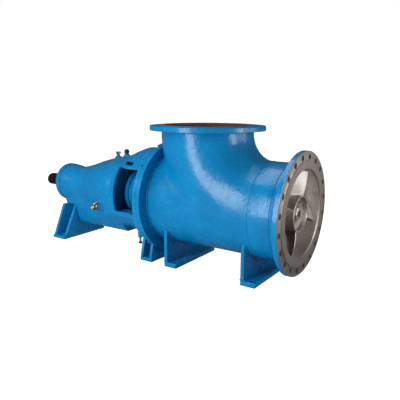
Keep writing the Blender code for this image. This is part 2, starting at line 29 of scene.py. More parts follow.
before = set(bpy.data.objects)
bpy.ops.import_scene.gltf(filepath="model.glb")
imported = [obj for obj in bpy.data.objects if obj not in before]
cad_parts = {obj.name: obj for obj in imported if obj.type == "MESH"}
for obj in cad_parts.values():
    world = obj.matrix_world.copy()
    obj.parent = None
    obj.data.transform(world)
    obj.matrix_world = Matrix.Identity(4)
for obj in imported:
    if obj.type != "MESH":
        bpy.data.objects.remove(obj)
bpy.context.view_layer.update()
print("frame loaded:", len(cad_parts), "nodes")

shaftZ = 0.411        # shaft centre line above the floor
shaftPoint = (0.0, 0.0, shaftZ)
outletX = 0.4395      # outlet's centre line


# Colours and nodes

def toLinear(hexCode):
    parts = [int(hexCode[i:i + 2], 16) / 255 for i in (1, 3, 5)]
    return tuple(p / 12.92 if p <= 0.04045 else ((p + 0.055) / 1.055) ** 2.4 for p in parts) + (1.0,)


# Sets a node's inputs. Each takes a value, a link, a node for its first output, or a list of these.
def setInputs(tree, node, inputs):
    for key, value in inputs.items():
        for source in value if isinstance(value, list) else [value]:
            if isinstance(source, bpy.types.Node):
                source = source.outputs[0]
            if isinstance(source, bpy.types.NodeSocket):
                tree.links.new(source, node.inputs[key])
            else:
                node.inputs[key].default_value = source


def addNode(tree, kind, settings=None, inputs=None):
    node = tree.nodes.new(kind)
    for key, value in (settings or {}).items():
        if key == "ramp":
            for element, (position, hexCode) in zip(node.color_ramp.elements, value):
                element.position, element.color = position, toLinear(hexCode)
        else:
            setattr(node, key, value)
    setInputs(tree, node, inputs or {})
    return node


# A new material's node tree and shader, and the piece's own coordinates.
def startMaterial(name, **sockets):
    mat = bpy.data.materials.new(name)
    mat.use_nodes = True
    shader = mat.node_tree.nodes["Principled BSDF"]
    for key, value in sockets.items():
        shader.inputs[key.replace("_", " ")].default_value = value
    place = addNode(mat.node_tree, "ShaderNodeTexCoord").outputs["Object"]
    return mat, mat.node_tree, shader, place


enamelLook = {
    "colour": "#0385C0", "shade": "#0379B2", "orangePeelMm": 8, "brushMm": 19,
    "peelHeight": 0.0003, "brushHeight": 0.0021}


# Glossy enamel brushed and sprayed over rough cast and rolled steel: its dabs break up the highlights.
def makeEnamel(name, look=enamelLook):
    mat, tree, shader, place = startMaterial(
        name, Roughness=0.25, IOR=1.45, Coat_Weight=0.2, Coat_Roughness=0.12)
    cloud = addNode(tree, "ShaderNodeTexNoise", inputs={"Vector": place, "Scale": 7.0, "Detail": 4.0})
    shade = addNode(tree, "ShaderNodeValToRGB", {"ramp": [(0.35, look["shade"]), (0.7, look["colour"])]}, {
        "Fac": cloud})
    gloss = addNode(tree, "ShaderNodeTexNoise", inputs={"Vector": place, "Scale": 28.0, "Detail": 3.0})
    rough = addNode(tree, "ShaderNodeMapRange", inputs={
        "Value": gloss, "From Min": 0.3, "From Max": 0.7, "To Min": 0.18, "To Max": 0.32})
    dabs = addNode(tree, "ShaderNodeTexNoise", inputs={
        "Vector": place, "Scale": 1000 / look["brushMm"], "Detail": 1.5, "Roughness": 0.5})
    swell = addNode(tree, "ShaderNodeBump", inputs={
        "Height": dabs, "Distance": look["brushHeight"], "Strength": 0.8})
    peel = addNode(tree, "ShaderNodeTexNoise", inputs={
        "Vector": place, "Scale": 1000 / look["orangePeelMm"], "Detail": 2.0, "Roughness": 0.6})
    skin = addNode(tree, "ShaderNodeBump", inputs={
        "Height": peel, "Distance": look["peelHeight"], "Strength": 1.0, "Normal": swell})
    setInputs(tree, shader, {"Base Color": shade, "Roughness": rough, "Normal": skin})
    return mat


enamel = makeEnamel("casing enamel, sprayed")


# Distance from the shaft's line or the outlet's line, for marks left by turning.
def ringDistance(tree, place, axis):
    centre = (0.0, 0.0, shaftZ) if axis == "x" else (outletX, 0.0, 0.0)
    moved = addNode(tree, "ShaderNodeVectorMath", {"operation": "SUBTRACT"}, {0: place, 1: centre})
    flat = addNode(tree, "ShaderNodeVectorMath", {"operation": "MULTIPLY"}, {
        0: moved, 1: (0.0, 1.0, 1.0) if axis == "x" else (1.0, 1.0, 0.0)})
    length = addNode(tree, "ShaderNodeVectorMath", {"operation": "LENGTH"}, {0: flat})
    return length.outputs["Value"]


# Bare steel faced on a lathe: fine rings catch the light, and a thin film of oil leaves brown blots.
def makeTurnedSteel(name, axis, colours, roughness, stain):
    mat, tree, shader, place = startMaterial(name, Metallic=1.0, Roughness=roughness)
    rings = addNode(tree, "ShaderNodeTexNoise", {"noise_dimensions": "1D"}, {
        "W": ringDistance(tree, place, axis), "Scale": 900.0, "Detail": 2.0})
    blots = addNode(tree, "ShaderNodeTexNoise", inputs={
        "Vector": place, "Scale": 14.0, "Detail": 5.0, "Roughness": 0.62})
    base = addNode(tree, "ShaderNodeValToRGB", {"ramp": [(0.3, colours[0]), (0.75, colours[1])]}, {
        "Fac": rings})
    spots = addNode(tree, "ShaderNodeMapRange", inputs={
        "Value": blots, "From Min": 0.42, "From Max": 0.72, "To Min": 0.0, "To Max": 0.75})
    mixed = addNode(tree, "ShaderNodeMix", {"data_type": "RGBA"}, {
        0: spots, 6: base, 7: toLinear(stain)})
    rough = addNode(tree, "ShaderNodeMapRange", inputs={
        "Value": blots, "From Min": 0.3, "From Max": 0.7,
        "To Min": roughness - 0.06, "To Max": roughness + 0.16})
    bump = addNode(tree, "ShaderNodeBump", inputs={
        "Height": rings, "Distance": 0.00012, "Strength": 0.8})
    setInputs(tree, shader, {"Base Color": mixed.outputs[2], "Roughness": rough, "Normal": bump})
    return mat


flangeSteel = makeTurnedSteel("flange steel, face turned", "x", ("#A39C96", "#CCC5BE"), 0.44, "#9A8678")
outletSteel = makeTurnedSteel("outlet steel, face turned", "z", ("#7E7368", "#9C9287"), 0.48, "#6F5A4C")
chamberSteel = makeTurnedSteel("chamber steel, bored", "x", ("#BDB6B1", "#DED8D2"), 0.58, "#AFA299")


# A grain of a given size, which tints the shader between two colours and gives its skin relief.
def addGrain(tree, shader, place, colours, sizeMm, depth, band, strength, **noise):
    grain = addNode(tree, "ShaderNodeTexNoise", inputs={"Vector": place, "Scale": 1000 / sizeMm, **noise})
    tone = addNode(tree, "ShaderNodeValToRGB", {"ramp": list(zip(band, colours))}, {"Fac": grain})
    bump = addNode(tree, "ShaderNodeBump", inputs={"Height": grain, "Distance": depth, "Strength": strength})
    setInputs(tree, shader, {"Base Color": tone, "Normal": bump})
    return grain


# Cast steel dressed with a grinder: short scratches and soft pits under a dull shine.
def makeCastSteel(name, colours, grainMm, roughness, depth):
    mat, tree, shader, place = startMaterial(name, Metallic=1.0, Roughness=roughness)
    grain = addGrain(tree, shader, place, colours, grainMm, depth, (0.3, 0.72), 0.9,
                     Detail=6.0, Roughness=0.65)
    rough = addNode(tree, "ShaderNodeMapRange", inputs={
        "Value": grain, "From Min": 0.3, "From Max": 0.7,
        "To Min": roughness - 0.1, "To Max": roughness + 0.14})
    setInputs(tree, shader, {"Roughness": rough})
    return mat


bladeSteel = makeCastSteel("blade steel, cast and ground", ("#A8A19C", "#DAD5D0"), 22, 0.52, 0.0006)
hubSteel = makeCastSteel("hub steel, cast and turned", ("#958D88", "#B5ADA8"), 16, 0.60, 0.0005)
shaftSteel = makeCastSteel(
    "shaft steel, ground with a film of grease", ("#463B35", "#6E625A"), 12, 0.4, 0.0002)
zincSteel = makeCastSteel("fastener steel, zinc plated", ("#A9ABA8", "#CBCDCB"), 8, 0.32, 0.0001)
gunmetal = makeCastSteel("fitting gunmetal, dull", ("#5B5C5E", "#85868A"), 6, 0.42, 0.0001)
brass = makeCastSteel("fitting brass, turned", ("#CDB07C", "#F0DDB4"), 9, 0.3, 0.0001)


# Primer, rubber and oxide: no metal shows, and a fine grain dulls the light.
def makePlain(name, colours, grainMm, roughness, depth):
    mat, tree, shader, place = startMaterial(name, Roughness=roughness)
    addGrain(tree, shader, place, colours, grainMm, depth, (0.32, 0.7), 0.8, Detail=5.0, Roughness=0.6)
    return mat


primer = makePlain("red oxide primer, brushed", ("#5A332B", "#784A3E"), 26, 0.62, 0.0005)
rubbedPrimer = makePlain("primer, rubbed through the enamel", ("#A0808C", "#C4A6AC"), 12, 0.5, 0.0003)
blackOxide = makePlain("black oxide, dipped", ("#17181A", "#2B2C2E"), 7, 0.42, 0.0001)


# Pressed glass over oil: an amber depth with faint swirls under a clear polished skin.
def makeGlass(name, colours, swirlMm):
    mat, tree, shader, place = startMaterial(
        name, Roughness=0.06, IOR=1.5, Coat_Weight=1.0, Coat_Roughness=0.03)
    addGrain(tree, shader, place, colours, swirlMm, 0.0002, (0.35, 0.68), 0.6, Detail=3.0, Distortion=1.5)
    return mat


sightGlass = makeGlass("sight glass, pressed", ("#B98A4A", "#E9D9A8"), 11)
print("materials made")


# Mesh helpers

# Gives a piece its materials and body, and hides the CAD nodes it stands for. The chooser picks each face's
# material by the face's centre and normal.
def finish(obj, materials, body, nodes=(), chooser=None):
    obj.data.materials.clear()
    for mat in materials:
        obj.data.materials.append(mat)
    for face in obj.data.polygons:
        face.material_index = chooser(face.center, face.normal) if chooser else 0
    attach(obj, body)
    if nodes:
        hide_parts(*nodes)
    return obj


def painted(obj, *nodes):
    return finish(obj, [enamel], "pump", nodes)


def meshObject(name, mesh):
    obj = bpy.data.objects.new(name, mesh)
    bpy.context.scene.collection.objects.link(obj)
    return obj


def smoothShade(mesh, angle):
    mesh.shade_smooth()
    mesh.set_sharp_from_angle(angle=math.radians(angle))


# Ends a bmesh as an object, smooth between sharp edges where an angle is given.
def fromBmesh(bm, name, angle=None):
    mesh = bpy.data.meshes.new(name)
    bm.to_mesh(mesh)
    bm.free()
    if angle:
        smoothShade(mesh, angle)
    return meshObject(name, mesh)


# Merges doubles and turns the faces outwards.
def mendMesh(mesh, gap):
    bm = bmesh.new()
    bm.from_mesh(mesh)
    bmesh.ops.remove_doubles(bm, verts=bm.verts, dist=gap)
    bmesh.ops.recalc_face_normals(bm, faces=bm.faces)
    bm.to_mesh(mesh)
    bm.free()


# A matrix that lays local Z along an axis.
def facing(axis):
    return Vector(axis).to_track_quat("Z", "Y").to_matrix().to_4x4()


# Turns modifiers into a plain mesh and shades it smooth between sharp edges.
def bake(obj, angle=35):
    dg = bpy.context.evaluated_depsgraph_get()
    dg.update()
    mesh = bpy.data.meshes.new_from_object(obj.evaluated_get(dg), depsgraph=dg)
    mesh.shade_smooth()
    if angle:
        mesh.set_sharp_from_angle(angle=math.radians(angle))
    if obj.type == "MESH":
        obj.modifiers.clear()
        old = obj.data
        obj.data = mesh
        bpy.data.meshes.remove(old)
        return obj
    name = obj.name
    bpy.data.objects.remove(obj, do_unlink=True)
    return meshObject(name, mesh)


# A shape turned about a line, from (distance along it, radius) points.
def turn(name, profile, steps=96, origin=shaftPoint, axis=(1, 0, 0), closed=True, angle=35):
    bm = bmesh.new()
    rows = []
    for along, radius in profile:
        if radius < 1e-6:
            rows.append([bm.verts.new((0, 0, along))] * steps)
            continue
        rows.append([bm.verts.new((radius * math.cos(2 * math.pi * k / steps),
                                   radius * math.sin(2 * math.pi * k / steps), along)) for k in range(steps)])
    pairs = list(zip(rows, rows[1:])) + ([(rows[-1], rows[0])] if closed else [])
    for low, high in pairs:
        for k in range(steps):
            ring = [low[k], low[(k + 1) % steps], high[(k + 1) % steps], high[k]]
            corners = [v for i, v in enumerate(ring) if v not in ring[:i]]
            if len(corners) > 2:
                bm.faces.new(corners)
    bmesh.ops.recalc_face_normals(bm, faces=bm.faces)
    bm.transform(Matrix.Translation(origin) @ facing(axis))
    return fromBmesh(bm, name, angle)


# A box, with the edges along one axis rounded where a radius is given.
def block(name, low, high, rounding=0.0, edgeAxis=None):
    bm = bmesh.new()
    bmesh.ops.create_cube(bm, size=1.0)
    low, high = Vector(low), Vector(high)
    bmesh.ops.scale(bm, vec=high - low, verts=bm.verts)
    bmesh.ops.translate(bm, vec=(low + high) / 2, verts=bm.verts)
    if rounding:
        edges = [e for e in bm.edges if edgeAxis is None
                 or abs((e.verts[0].co - e.verts[1].co).normalized()[edgeAxis]) > 0.9]
        bmesh.ops.bevel(bm, geom=edges, offset=rounding, segments=5, profile=0.5, affect="EDGES")
    return fromBmesh(bm, name)


# Adds or cuts shapes in turn, then removes them.
def combine(target, others, operation="DIFFERENCE", angle=35):
    for other in others:
        change = target.modifiers.new("shape", "BOOLEAN")
        change.operation = operation
        change.solver = "EXACT"
        change.object = other
        bake(target, angle)
        bpy.data.objects.remove(other, do_unlink=True)
    return target


# Pins on a bolt circle, to drill holes with.
def pinRing(name, count, ringRadius, pinRadius, low, high, origin=shaftPoint, axis=(1, 0, 0), first=0.5):
    bm = bmesh.new()
    middle = (low + high) / 2
    for k in range(count):
        angle = (k + first) * 2 * math.pi / count
        spot = Matrix.Translation((ringRadius * math.cos(angle), ringRadius * math.sin(angle), middle))
        bmesh.ops.create_cone(bm, cap_ends=True, segments=24, radius1=pinRadius, radius2=pinRadius,
                              depth=high - low, matrix=spot)
    bm.transform(Matrix.Translation(origin) @ facing(axis))
    return fromBmesh(bm, name)


# A path through points, or a round bar where a radius is given.
def polyCurve(name, points, radius=0.0, resolution=4, cyclic=False):
    curve = bpy.data.curves.new(name, "CURVE")
    curve.dimensions = "3D"
    curve.bevel_depth = radius
    curve.bevel_resolution = resolution
    curve.use_fill_caps = True
    spline = curve.splines.new("POLY")
    spline.points.add(len(points) - 1)
    for spot, point in zip(spline.points, points):
        spot.co = (*point, 1.0)
    spline.use_cyclic_u = cyclic
    return curve


def axisDistance(point):
    return math.hypot(point.y, point.z - shaftZ)


# Geometry Nodes helpers

def startTree(name, inputs):
    tree = bpy.data.node_groups.new(name, "GeometryNodeTree")
    tree.interface.new_socket(name="Geometry", in_out="OUTPUT", socket_type="NodeSocketGeometry")
    for label, kind in inputs:
        tree.interface.new_socket(name=label, in_out="INPUT", socket_type="NodeSocket" + kind)
    return tree, addNode(tree, "NodeGroupInput").outputs


def endTree(tree, geometry, material):
    whole = addNode(tree, "GeometryNodeRealizeInstances", inputs={"Geometry": geometry})
    dressed = addNode(tree, "GeometryNodeSetMaterial", inputs={
        "Geometry": whole, "Material": material})
    addNode(tree, "NodeGroupOutput", inputs={"Geometry": dressed})


# Runs a tree with its inputs set and keeps the result as a plain mesh.
def growPiece(name, tree, values, data=None, angle=35):
    host = meshObject(name, data or bpy.data.meshes.new(name))
    change = host.modifiers.new("nodes", "NODES")
    change.node_group = tree
    for item in tree.interface.items_tree:
        if item.in_out == "INPUT" and item.name in values:
            change[item.identifier] = values[item.name]
    dg = bpy.context.evaluated_depsgraph_get()
    dg.update()
    mesh = bpy.data.meshes.new_from_object(host.evaluated_get(dg), depsgraph=dg)
    bpy.data.objects.remove(host, do_unlink=True)
    mendMesh(mesh, 0.00002)
    smoothShade(mesh, angle)
    return meshObject(name, mesh)


# Camera

view = {"place": (1.9975, -2.385, 1.014), "yaw": 34.03, "pitch": 13.04, "roll": 0.29,
        "focalPixels": 454.3, "centrePixel": (200.3, 209.3), "imagePixels": 400}


def makeCamera():
    yaw, pitch, roll = (math.radians(view[k]) for k in ("yaw", "pitch", "roll"))
    ahead = Vector((-math.sin(yaw) * math.cos(pitch), math.cos(yaw) * math.cos(pitch), -math.sin(pitch)))
    right = Vector((math.cos(yaw), math.sin(yaw), 0))
    up = right.cross(ahead)
    right, up = (right * math.cos(roll) + up * math.sin(roll), up * math.cos(roll) - right * math.sin(roll))
    data = bpy.data.cameras.new("photoCamera")
    data.sensor_width = 36
    data.lens = view["focalPixels"] / view["imagePixels"] * data.sensor_width
    data.shift_x = -(view["centrePixel"][0] / view["imagePixels"] - 0.5)
    data.shift_y = view["centrePixel"][1] / view["imagePixels"] - 0.5
    data.clip_end = 60
    camera = bpy.data.objects.new("photoCamera", data)
    bpy.context.scene.collection.objects.link(camera)
    turned = Matrix((right, up, -ahead)).transposed().to_4x4()
    camera.matrix_world = Matrix.Translation(view["place"]) @ turned
    bpy.context.scene.camera = camera


makeCamera()
print("camera placed")


# Elbow casing, one sweep round the bend joined to the straight barrel

elbow = {"Outer radius": 0.285, "Bore radius": 0.263, "Bend radius": 0.435, "Neck top": 0.8592,
         "Barrel rear": 0.1748, "Barrel front": 0.8775, "Sides": 96, "Bend steps": 40,
         "slip": 0.0006, "overrun": 0.05}     # keeps like faces apart, and carries cutters past the ends


def elbowTree():
    tree, given = startTree("elbow casing", [(label, "Float") for label in (
        "Outer radius", "Bore radius", "Bend radius", "Neck top", "Barrel front", "Barrel radius",
        "Barrel middle", "Barrel length", "Bore top", "Bore front", "Back radius", "Back middle",
        "Back length")] + [("Sides", "Int"), ("Bend steps", "Int")])

    def bend(radius, top, front):
        start = addNode(tree, "ShaderNodeCombineXYZ", inputs={"X": outletX, "Z": top})
        end = addNode(tree, "ShaderNodeCombineXYZ", inputs={"X": front, "Z": shaftZ})
        line = addNode(tree, "GeometryNodeCurvePrimitiveLine", inputs={"Start": start, "End": end})
        three = addNode(tree, "GeometryNodeResampleCurve", {"mode": "COUNT"}, {"Curve": line, "Count": 3})
        middle = addNode(tree, "FunctionNodeCompare", {"data_type": "INT", "operation": "EQUAL"}, {
            2: addNode(tree, "GeometryNodeInputIndex"), 3: 1})
        crossing = addNode(tree, "ShaderNodeCombineXYZ", inputs={"X": outletX, "Z": shaftZ})
        corner = addNode(tree, "GeometryNodeSetPosition", inputs={
            "Geometry": three, "Selection": middle, "Position": crossing})
        path = addNode(tree, "GeometryNodeFilletCurve", {"mode": "POLY"}, {
            "Curve": corner, "Count": given["Bend steps"], "Radius": given["Bend radius"]})
        ring = addNode(tree, "GeometryNodeCurvePrimitiveCircle", inputs={
            "Resolution": given["Sides"], "Radius": radius})
        return addNode(tree, "GeometryNodeCurveToMesh", inputs={
            "Curve": path, "Profile Curve": ring, "Fill Caps": True})

    def barrel(radius, length, middle):
        tube = addNode(tree, "GeometryNodeMeshCylinder", inputs={
            "Vertices": given["Sides"], "Radius": radius, "Depth": length})
        place = addNode(tree, "ShaderNodeCombineXYZ", inputs={"X": middle, "Z": shaftZ})
        return addNode(tree, "GeometryNodeTransform", inputs={
            "Geometry": tube, "Translation": place, "Rotation": (0.0, math.pi / 2, 0.0)})

    outside = addNode(tree, "GeometryNodeMeshBoolean", {"operation": "UNION", "solver": "EXACT"}, {
        1: [barrel(given["Barrel radius"], given["Barrel length"], given["Barrel middle"]),
            bend(given["Outer radius"], given["Neck top"], given["Barrel front"])]})
    hollow = addNode(tree, "GeometryNodeMeshBoolean", {"operation": "DIFFERENCE", "solver": "EXACT"}, {
        0: outside, 1: bend(given["Bore radius"], given["Bore top"], given["Bore front"])})
    shell = addNode(tree, "GeometryNodeMeshBoolean", {"operation": "DIFFERENCE", "solver": "EXACT"}, {
        0: hollow, 1: barrel(given["Back radius"], given["Back length"], given["Back middle"])})
    endTree(tree, shell, enamel)
    return tree


# Distance from the centre line that runs down the neck, round the bend and along the barrel.
def bendDistance(point):
    cornerX, cornerZ = outletX + elbow["Bend radius"], shaftZ + elbow["Bend radius"]
    if point.z > cornerZ:
        return math.hypot(point.x - outletX, point.y)
    if point.x > cornerX:
        return axisDistance(point)
    return math.hypot(math.hypot(point.x - cornerX, point.z - cornerZ) - elbow["Bend radius"], point.y)


def makeElbow():
    rear, front, over = elbow["Barrel rear"], elbow["Barrel front"], elbow["overrun"]
    barrelEnd, backStart, backEnd = front - 0.004, rear - over, front - 0.01
    sizes = {"Barrel radius": elbow["Outer radius"] - elbow["slip"], "Barrel length": barrelEnd - rear,
             "Barrel middle": (barrelEnd + rear) / 2, "Bore top": elbow["Neck top"] + over,
             "Bore front": front + over, "Back radius": elbow["Bore radius"] - elbow["slip"],
             "Back length": backEnd - backStart, "Back middle": (backEnd + backStart) / 2}
    casing = growPiece("elbow_casing", elbowTree(), {**elbow, **sizes}, angle=40)
    halfWall = (elbow["Outer radius"] + elbow["Bore radius"]) / 2
    finish(casing, [enamel, primer], "pump",
           ["casing_elbow", "casing_barrel", "casing_neck", "casing_throat"],
           lambda c, n: int(min(bendDistance(c), axisDistance(c)) < halfWall))


makeElbow()
print("elbow casing built")


# Soft blend where the elbow's skin meets the barrel's

crease = {"from": 0.178, "to": 0.760, "stations": 44, "reach": 0.060, "endReach": 0.030, "across": 8,
          "tucked": 0.0004, "core": 0.012}     # edges lie under the skin, and the blend has a solid core


def creaseBlend(name, side):
    radius, bendRadius = elbow["Outer radius"], elbow["Bend radius"]
    corner = Vector((outletX + bendRadius, 0, shaftZ + bendRadius))

    def creasePoint(x):
        rise = (x - corner.x) ** 2 / (4 * bendRadius)
        return Vector((x, side * math.sqrt(max(radius ** 2 - rise ** 2, 0)), shaftZ + rise))

    def bendAxisPoint(point):
        flat = Vector((point.x - corner.x, 0, point.z - corner.z)).normalized()
        return corner + flat * bendRadius

    bm = bmesh.new()
    rows = []
    for k in range(crease["stations"] + 1):
        share = k / crease["stations"]
        x = crease["from"] + share * (crease["to"] - crease["from"])
        middle = creasePoint(x)
        along = (creasePoint(x + 0.002) - creasePoint(x - 0.002)).normalized()
        barrelOut = Vector((0, middle.y, middle.z - shaftZ)).normalized()
        bendOut = (middle - bendAxisPoint(middle)).normalized()
        reach = crease["reach"] + share * (crease["endReach"] - crease["reach"])
        onBarrel = along.cross(barrelOut)
        if onBarrel.dot(bendOut) < 0:
            onBarrel.negate()
        onBend = along.cross(bendOut)
        if onBend.dot(barrelOut) < 0:
            onBend.negate()
        low = middle + onBarrel * reach
        ray = Vector((0, low.y, low.z - shaftZ)).normalized()
        low = Vector((low.x, 0, shaftZ)) + ray * (radius - crease["tucked"])
        high = middle + onBend * reach
        ray = (high - bendAxisPoint(high)).normalized()
        high = bendAxisPoint(high) + ray * (radius - crease["tucked"])
        row = []
        for j in range(crease["across"] + 1):
            t = j / crease["across"]
            row.append(bm.verts.new(low * (1 - t) ** 2 + middle * 2 * t * (1 - t) + high * t ** 2))
        row.append(bm.verts.new(middle - (barrelOut + bendOut).normalized() * crease["core"]))
        rows.append(row)
    for first, second in zip(rows, rows[1:]):
        for j in range(len(first)):
            n = (j + 1) % len(first)
            bm.faces.new((first[j], first[n], second[n], second[j]))
    bm.faces.new(rows[0])
    bm.faces.new(rows[-1])
    bmesh.ops.recalc_face_normals(bm, faces=bm.faces)
    painted(fromBmesh(bm, name, 60))


creaseBlend("crease_blend_near", -1)
creaseBlend("crease_blend_far", 1)
print("crease blended")


# Inlet spool, inlet flange and outlet flange

flange = {"rim": 0.3575, "boltRing": 0.325, "hole": 0.0165, "holes": 20, "raised": 0.304,
          "raisedHeight": 0.004, "thick": 0.032, "inletFace": 1.0905, "outletFace": 0.891,
          "spoolFront": 1.0065, "chamber": 0.2525, "bore": 0.263, "edge": 0.002}


def drillFlange(disc, low, high, origin, axis):
    combine(disc, [pinRing("drill", flange["holes"], flange["boltRing"], flange["hole"], low - 0.03,
                           high + 0.03, origin, axis)])


def makeInlet():
    front, rear = flange["spoolFront"], elbow["Barrel front"] + 0.0003
    spool = turn("inlet_spool_shell", [(front, 0.285), (rear, 0.285), (rear, flange["chamber"]),
                                       (front, flange["chamber"])])
    finish(spool, [enamel, chamberSteel], "pump", ["inlet_spool"],
           lambda c, n: int(axisDistance(c) < 0.27))
    face, e = flange["inletFace"], flange["edge"]
    low, back = face - flange["raisedHeight"], face - flange["thick"]
    rim, raised, bore = flange["rim"], flange["raised"], flange["chamber"]
    disc = turn("inlet_flange_ring", [
        (face - 0.006, bore), (face, bore + 0.006), (face, raised - 0.001), (low + 0.0005, raised),
        (low, raised + 0.001), (low, rim - e), (low - e, rim), (back + e, rim), (back, rim - e),
        (back, 0.2985), (back - 0.004, 0.2905), (back - 0.012, 0.2853), (front - 0.0003, 0.285),
        (front - 0.0003, bore)], steps=128)
    drillFlange(disc, back, face, shaftPoint, (1, 0, 0))

    def choose(c, n):
        radius = axisDistance(c)
        if radius < bore + 0.002:
            return 2
        drilled = abs(radius - flange["boltRing"]) < flange["hole"] + 0.001 and abs(n.x) < 0.5
        faced = c.x > low - e and (n.x > 0.5 or radius < rim - 0.01)
        return 1 if faced or drilled else 0

    finish(disc, [enamel, flangeSteel, chamberSteel], "pump", ["inlet_flange"], choose)


def makeOutlet():
    face, e = flange["outletFace"], flange["edge"]
    low, under = face - flange["raisedHeight"], face - flange["thick"]
    rim, raised, bore = flange["rim"], flange["raised"], flange["bore"]
    disc = turn("outlet_flange_ring", [
        (face - 0.002, bore), (face, bore + 0.002), (face, raised - 0.001), (low, raised + 0.001),
        (low, rim - e), (low - e, rim), (under + e, rim), (under, rim - e), (under, bore)],
        steps=128, origin=(outletX, 0, 0), axis=(0, 0, 1))
    drillFlange(disc, under, face, (outletX, 0, 0), (0, 0, 1))

    def choose(c, n):
        radius = math.hypot(c.x - outletX, c.y)
        if radius < bore + 0.003 and abs(n.z) < 0.9:
            return 2
        return 1 if n.z > 0.5 and radius < raised + 0.003 else 0

    finish(disc, [enamel, outletSteel, primer], "pump", ["outlet_flange"], choose)


makeInlet()
makeOutlet()
print("flanges built")


# Flanges between casing and bracket, the casing cover and the seal

joint = {"casing": (0.1465, 0.1745), "bracket": (0.117, 0.1462), "rim": 0.3575, "edge": 0.0025,
         "fineEdge": 0.0008, "sealRadius": 0.155, "sealRear": -0.1325, "shaftBore": 0.056}
nutSeat = {"count": 16, "ring": 0.334, "radius": 0.042, "rear": 0.0888, "floor": 0.143}


# Pockets round the nuts, cut into the lantern's arms and the flange behind them.
def nutSeats(rear):
    return pinRing("nutSeats", nutSeat["count"], nutSeat["ring"], nutSeat["radius"], rear, nutSeat["floor"],
                   first=0.0)


def makeJoint():
    low, high = joint["casing"]
    rim, edge, fine, bore = (joint[k] for k in ("rim", "edge", "fineEdge", "shaftBore"))
    ring = turn("casing_flange_ring", [
        (high, rim - edge), (high - edge, rim), (low + fine, rim), (low, rim - fine), (low, flange["bore"]),
        (high, flange["bore"])], steps=128)
    bend, steps = elbow["Bend radius"], 24
    angles = [math.pi + k * math.pi / 2 / steps for k in range(steps + 1)]
    sweep = polyCurve("bend_clearance", [
        (outletX + bend + bend * math.cos(a), 0, shaftZ + bend + bend * math.sin(a)) for a in angles],
        elbow["Outer radius"] + 0.0003, 30)
    cutter = bake(meshObject("bend_clearance", sweep), 0)
    mendMesh(cutter.data, 0.00005)
    combine(ring, [cutter])
    painted(ring, "casing_flange")
    cover = turn("casing_cover_disc", [
        (high + 0.012, 0.238), (high + 0.010, 0.240), (high, 0.240), (high, 0.2627), (low, 0.2627),
        (low, bore), (high + 0.012, bore)])
    finish(cover, [primer], "pump", ["casing_cover"])
    low, high = joint["bracket"]
    rear, radius = joint["sealRear"], joint["sealRadius"]
    ring = turn("bracket_flange_ring", [
        (high, rim - fine), (high - fine, rim), (low + edge, rim), (low, rim - edge),
        (low, radius + 0.0003), (high, radius + 0.0003)], steps=128)
    seats = nutSeats(low - 0.02)
    window = block("besideWindow", (low - 0.03, -0.5, shaftZ - 0.2), (high + 0.03, 0.5, shaftZ + 0.2))
    combine(seats, [window])
    combine(ring, [seats])
    painted(ring, "bracket_flange")
    painted(turn("seal_body", [
        (high, radius), (rear + 0.058, radius), (rear + 0.055, radius - 0.012),
        (rear + 0.030, radius - 0.012), (rear + 0.027, radius), (rear + 0.003, radius),
        (rear, radius - 0.003), (rear, bore), (high, bore)]), "seal_housing")
    gland = turn("gland_plate", [(rear - 0.0003, 0.098), (rear - 0.018, 0.098), (rear - 0.020, 0.096),
                                 (rear - 0.020, bore), (rear - 0.0003, bore)])
    finish(gland, [zincSteel], "pump", ["gland_ring"])


makeJoint()
print("joint and seal built")


# Bearing bracket: one casting with its housing, sump, lantern arms and pads

housingLine = [(-0.1275, 0.275), (-0.1580, 0.255), (-0.1830, 0.242), (-0.2343, 0.2445), (-0.3465, 0.222),
               (-0.4475, 0.195), (-0.5515, 0.161), (-0.6365, 0.138), (-0.6905, 0.129), (-0.7245, 0.130),
               (-0.7855, 0.139), (-0.8225, 0.142), (-0.8262, 0.142)]
lanternTopLine = [(0.1215, 0.316), (-0.0165, 0.316), (-0.0381, 0.308), (-0.0833, 0.292), (-0.1203, 0.272),
                  (-0.1375, 0.262)]
lanternBottomLine = [(0.1215, 0.316), (0.0545, 0.316), (0.0145, 0.280), (-0.0155, 0.262), (-0.0405, 0.257),
                     (-0.1375, 0.257)]
bracket = {"rear": -0.8262, "front": -0.1275, "window": (0.310, 0.605), "wall": 0.030, "lowerArm": 0.257,
           "bore": 0.062, "castingVoxel": 0.008, "blend": 14, "voxel": 0.005,
           "sill": ((-0.130, 0.148, 0.272), (0.1165, 0.226, 0.310)),
           "wornSpot": (0.032, -0.272), "wornReach": 0.024}
bosses = {                 # place, axis and turned outline
    "breatherBoss": (
        (-0.3285, 0, shaftZ), (0, 0, 1), [(0.150, 0), (0.150, 0.021), (0.236, 0.021), (0.236, 0)]),
    "fillerBoss": ((-0.2445, 0, shaftZ), (0, 0, 1), [(0.150, 0), (0.150, 0.021), (0.256, 0.021), (0.256, 0)]),
    "glassBoss": ((-0.3655, -0.210, 0.308), (0, -1, 0), [(-0.07, 0), (-0.07, 0.034), (0, 0.030), (0, 0)]),
    "ventBoss": ((-0.3055, -0.234, 0.345), (0, -1, 0), [(-0.09, 0), (-0.09, 0.024), (0, 0.020), (0, 0)]),
    "drainBoss": ((0.0195, -0.175, 0.136), (0, 0, -1), [(-0.075, 0), (-0.075, 0.016), (0, 0.016), (0, 0)])}


def hullOf(name, points):
    bm = bmesh.new()
    for point in points:
        bm.verts.new(point)
    bmesh.ops.convex_hull(bm, input=bm.verts)
    bmesh.ops.recalc_face_normals(bm, faces=bm.faces)
    return fromBmesh(bm, name)


# The part of a turned shell between two heights.
def lanternArm(name, line, low, high):
    arm = turn(name, line + [(x, r - bracket["wall"]) for x, r in reversed(line)])
    return combine(arm, [block(name + "_keep", (-0.3, -0.6, low), (0.3, 0.6, high))], "INTERSECT")


